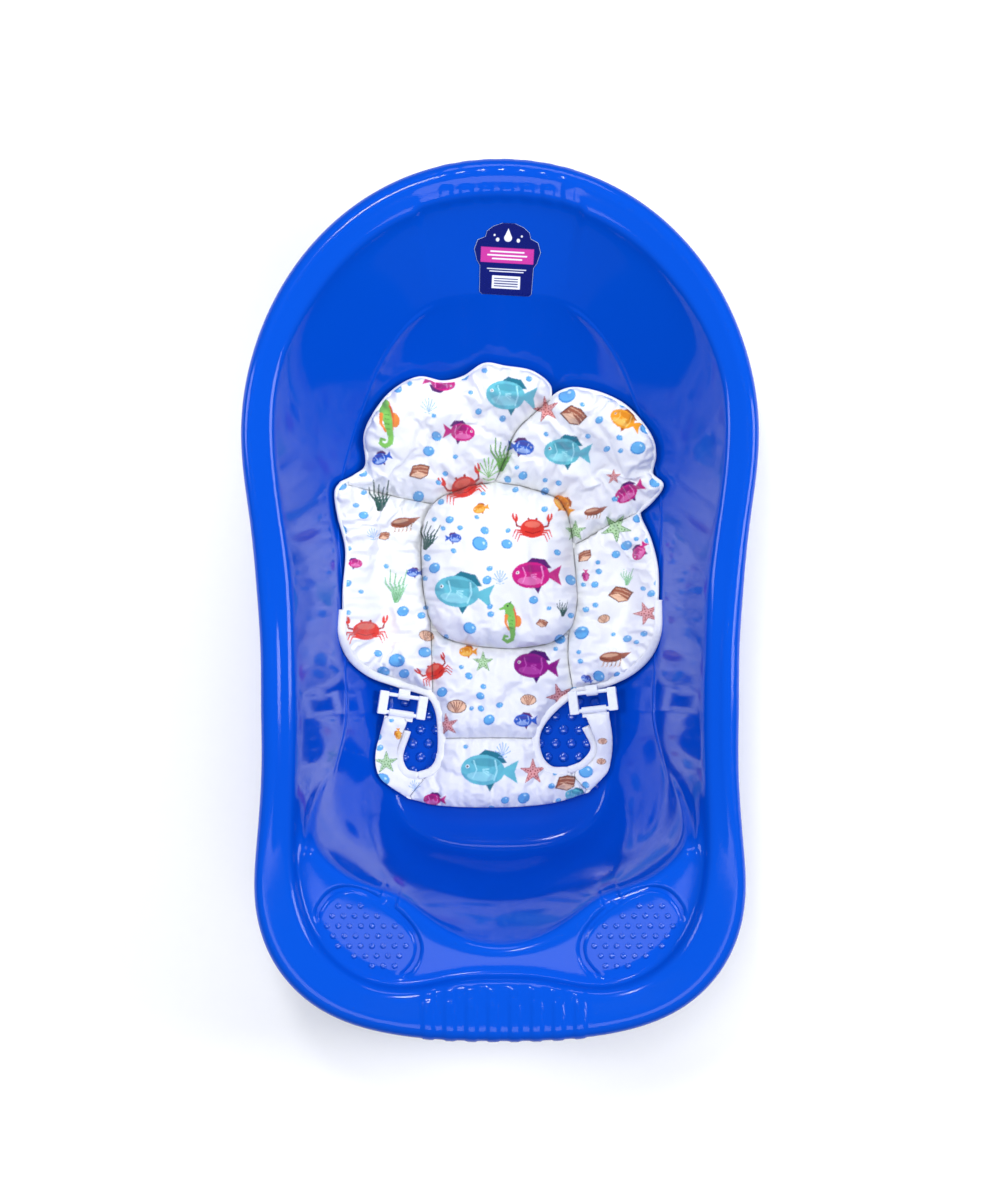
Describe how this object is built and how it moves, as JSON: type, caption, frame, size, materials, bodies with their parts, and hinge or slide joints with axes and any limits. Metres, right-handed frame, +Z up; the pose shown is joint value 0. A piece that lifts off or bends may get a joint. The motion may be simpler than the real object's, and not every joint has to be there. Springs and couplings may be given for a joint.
{
  "type": "baby bathtub",
  "caption": "Moulded baby bathtub with rolled rim, foot-end deck with soap dishes, and a padded lift-out bath support with leg openings and strap clips.",
  "frame": {"origin": "middle of the tub, on the surface that it stands on", "axes": "+Y to the head end, -Y to the foot end with the soap dishes, +X across to the right seen from above with the head end up, +Z up"},
  "size_m": [0.5044, 0.859, 0.2508],
  "materials": {
    "blue_plastic": "high-gloss injection-moulded polypropylene",
    "white_plastic": "satin white moulding",
    "printed_fabric": "white brushed cotton with a small sea-life print",
    "binding_tape": "plain white bias tape",
    "sticker_film": "glossy printed film"
  },
  "bodies": {
    "tub": {"tub_shell": "blue_plastic", "label_sticker": "sticker_film"},
    "support": {"head_pillow": "printed_fabric", "ring_cushion_upper_left": "printed_fabric", "ring_cushion_upper_right": "printed_fabric", "ring_cushion_left": "printed_fabric", "ring_cushion_right": "printed_fabric", "seat_panel": "printed_fabric", "front_panel": "printed_fabric", "leg_strap_left": "printed_fabric", "leg_strap_right": "printed_fabric", "binding_left": "binding_tape", "binding_right": "binding_tape", "clip_tab_left": "printed_fabric", "clip_tab_right": "printed_fabric"},
    "clip_left": {"strap_clip_left": "white_plastic", "strap_loop_left": "printed_fabric"},
    "clip_right": {"strap_clip_right": "white_plastic", "strap_loop_right": "printed_fabric"}
  },
  "joints": [
    {"name": "support_lift", "type": "slide", "parent": "tub", "child": "support", "axis": [0, 0, 1], "range_m": [0, 0.3]},
    {"name": "clip_left_swing", "type": "hinge", "parent": "support", "child": "clip_left", "pos_m": [-0.10203, -0.10223, 0.026], "axis": [-0.9727, 0.1541, 0.1736], "range_deg": [0, 40]},
    {"name": "clip_right_swing", "type": "hinge", "parent": "support", "child": "clip_right", "pos_m": [0.09768, -0.09764, 0.026], "axis": [-0.9775, -0.12, -0.1736], "range_deg": [0, 40]}
  ]
}
